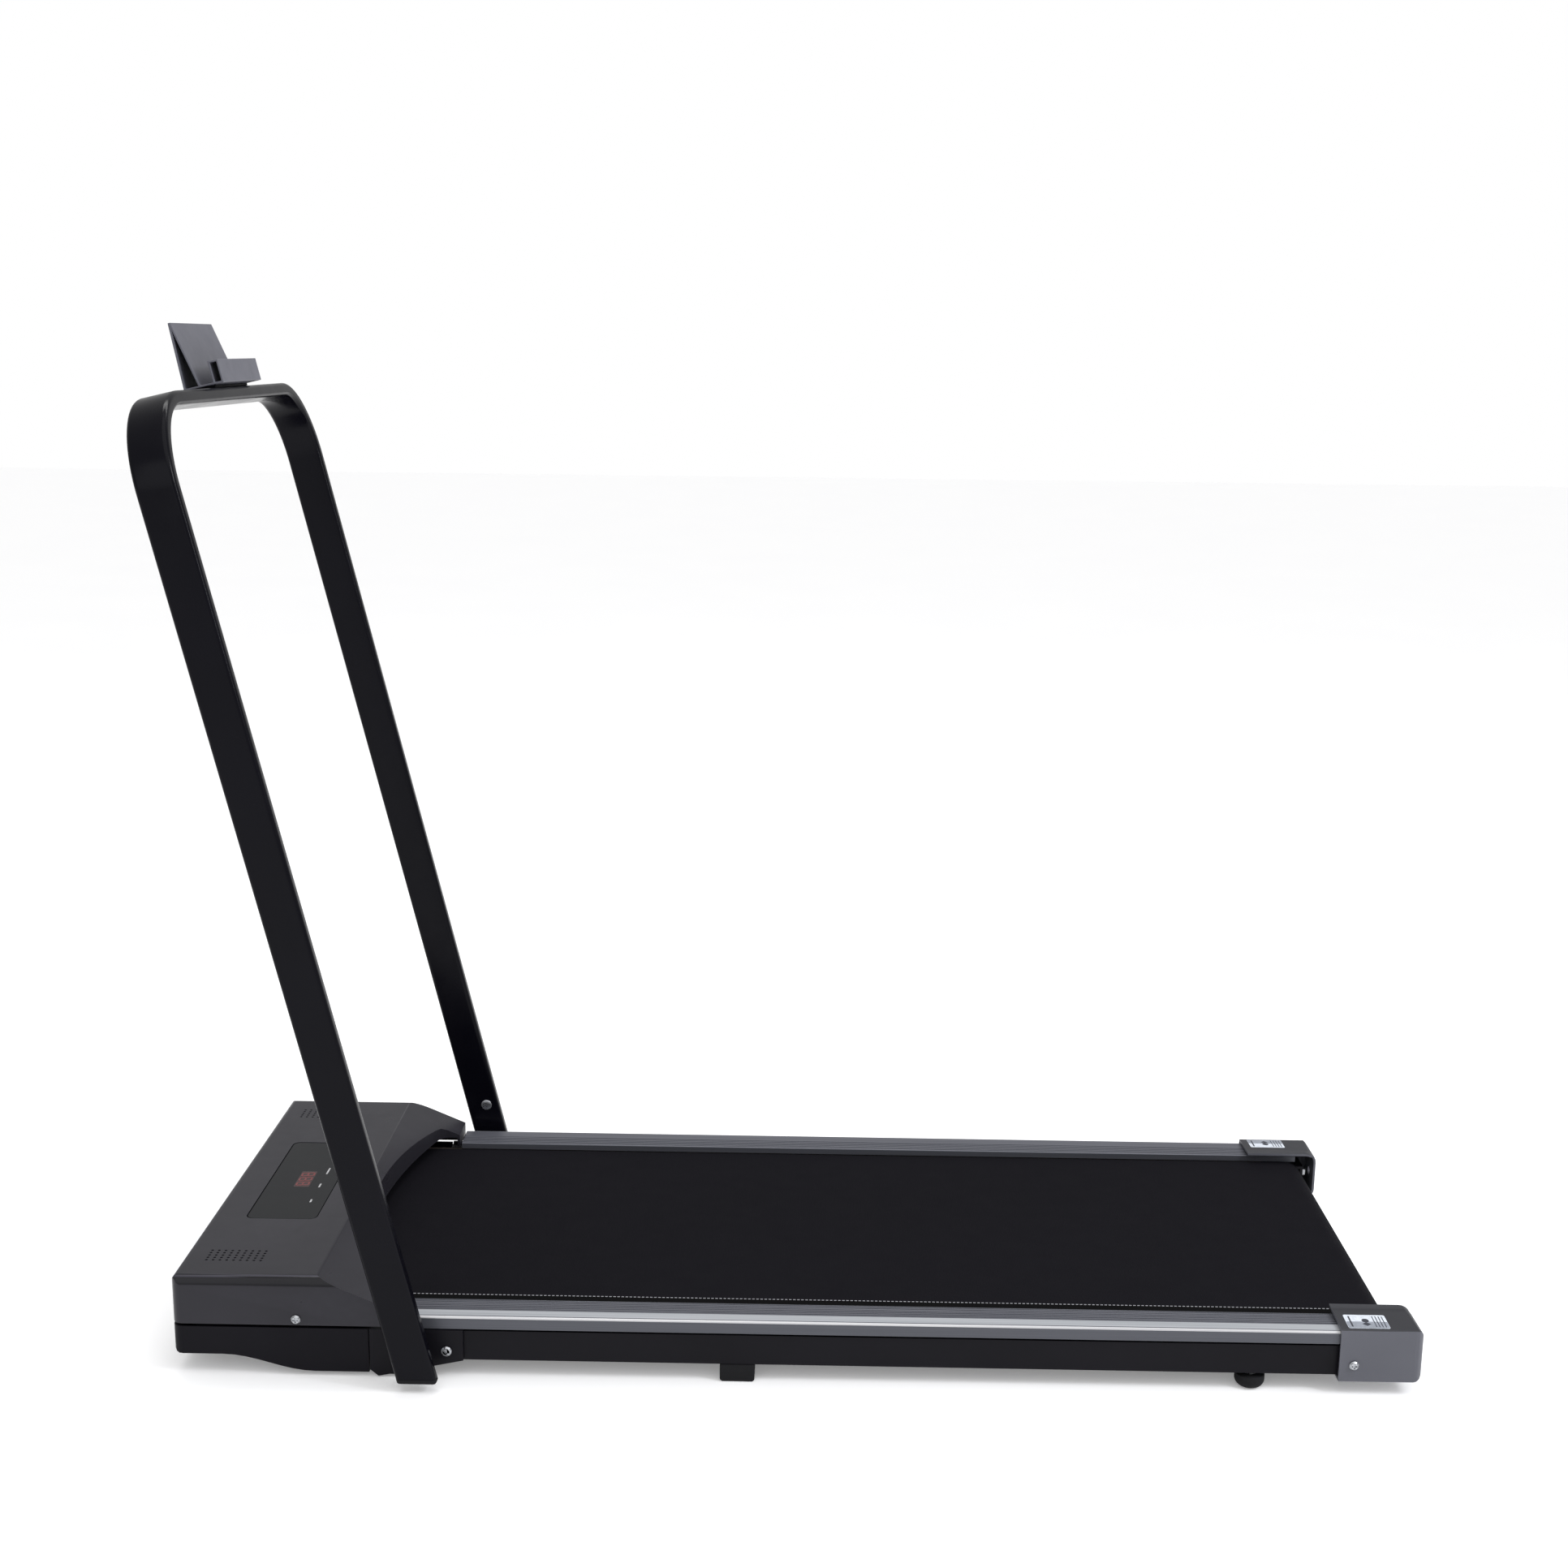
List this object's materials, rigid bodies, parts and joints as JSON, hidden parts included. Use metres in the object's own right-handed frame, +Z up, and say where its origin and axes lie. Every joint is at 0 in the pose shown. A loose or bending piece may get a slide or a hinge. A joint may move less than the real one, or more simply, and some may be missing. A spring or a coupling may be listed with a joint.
{
  "type": "folding walking treadmill",
  "caption": "Low under-desk treadmill with a motor hood and display at the front, a belt between grooved foot rails, and a U-shaped handrail that folds down over the deck.",
  "frame": {"origin": "centre of the bounding box on the floor, handrail up", "axes": "+Z up, +X from the motor hood to the rear roller, +Y across the belt away from the side with the power switch"},
  "size_m": [1.2569, 0.558, 1.033],
  "materials": {
    "hood_plastic": "charcoal, fine texture",
    "black_plastic": "black, fine texture",
    "cap_plastic": "grey, fine texture",
    "smoked_panel": "smoked, semi-gloss",
    "black_steel": "black powder coat",
    "handrail_paint": "gloss black",
    "holder_paint": "dark grey powder coat",
    "aluminium": "anodised grey, bright outer band",
    "zinc": "bright zinc plate",
    "steel": "turned steel",
    "belt_rubber": "matte black, fine diamond texture",
    "rubber": "matte black",
    "board": "fibreboard with a slick lower and upper film",
    "circuit": "green board",
    "motor_paint": "dark grey enamel"
  },
  "bodies": {
    "deck": {"motor_hood": "hood_plastic", "lower_pan": "black_plastic", "power_inlet": "black_plastic", "switch_housing": "black_plastic", "end_cap_near": "cap_plastic", "end_cap_far": "cap_plastic", "display_window": "smoked_panel", "frame_rail_near": "black_steel", "frame_rail_far": "black_steel", "crossmember_front": "black_steel", "crossmember_middle": "black_steel", "crossmember_rear": "black_steel", "front_subframe": "black_steel", "pivot_bracket_near": "black_steel", "pivot_bracket_far": "black_steel", "foot_rail_near": "aluminium", "foot_rail_far": "aluminium", "heat_sink": "aluminium", "hood_screw_near": "zinc", "hood_screw_far": "zinc", "bracket_screw_near": "zinc", "bracket_screw_far": "zinc", "end_cap_screw_near": "zinc", "end_cap_screw_far": "zinc", "tension_bolt_near": "zinc", "tension_bolt_far": "zinc", "pivot_bolt_near": "zinc", "pivot_bolt_far": "zinc", "rear_foot_nut_near": "zinc", "rear_foot_nut_far": "zinc", "front_axle": "steel", "rear_axle": "steel", "wheel_pin_near": "steel", "wheel_pin_far": "steel", "running_belt": "belt_rubber", "front_foot_near": "rubber", "front_foot_far": "rubber", "middle_foot_near": "rubber", "middle_foot_far": "rubber", "rear_foot_near": "rubber", "rear_foot_far": "rubber", "drive_belt": "rubber", "deck_board": "board", "control_board": "circuit", "display_board": "circuit", "motor": "motor_paint"},
    "handrail_assembly": {"handrail": "handrail_paint", "leg_plug_near": "rubber", "leg_plug_far": "rubber", "stop_bolt_near": "zinc", "stop_bolt_far": "zinc", "device_holder": "holder_paint", "holder_pad": "rubber"},
    "front_roller_assembly": {"front_roller": "steel", "roller_pulley": "black_plastic"},
    "rear_roller_body": {"rear_roller": "steel"},
    "motor_shaft": {"motor_pulley": "steel"},
    "switch_rocker": {"power_switch": "black_plastic"},
    "wheel_near": {"transport_wheel_near": "rubber"},
    "wheel_far": {"transport_wheel_far": "rubber"}
  },
  "joints": [
    {"name": "handrail_fold", "type": "hinge", "parent": "deck", "child": "handrail_assembly", "pos_m": [-0.3772, 0, 0.038], "axis": [0, 1, 0], "range_deg": [0, 99.5]},
    {"name": "front_roller_spin", "type": "hinge", "parent": "deck", "child": "front_roller_assembly", "pos_m": [-0.4885, 0, 0.04], "axis": [0, 1, 0], "continuous": true},
    {"name": "rear_roller_spin", "type": "hinge", "parent": "deck", "child": "rear_roller_body", "pos_m": [0.59, 0, 0.04], "axis": [0, 1, 0], "continuous": true},
    {"name": "motor_spin", "type": "hinge", "parent": "deck", "child": "motor_shaft", "pos_m": [-0.5615, 0, 0.06], "axis": [0, 1, 0], "continuous": true},
    {"name": "power_switch_rock", "type": "hinge", "parent": "deck", "child": "switch_rocker", "pos_m": [-0.6195, -0.1075, 0.076], "axis": [0, -1, 0], "range_deg": [0, 24]},
    {"name": "wheel_near_spin", "type": "hinge", "parent": "deck", "child": "wheel_near", "pos_m": [-0.5865, -0.185, 0.021], "axis": [0, 1, 0], "continuous": true},
    {"name": "wheel_far_spin", "type": "hinge", "parent": "deck", "child": "wheel_far", "pos_m": [-0.5865, 0.185, 0.021], "axis": [0, 1, 0], "continuous": true}
  ],
  "couplings": [
    {"joint": "rear_roller_spin", "follows": "front_roller_spin", "ratio": 1},
    {"joint": "motor_spin", "follows": "front_roller_spin", "ratio": 2.4545}
  ]
}
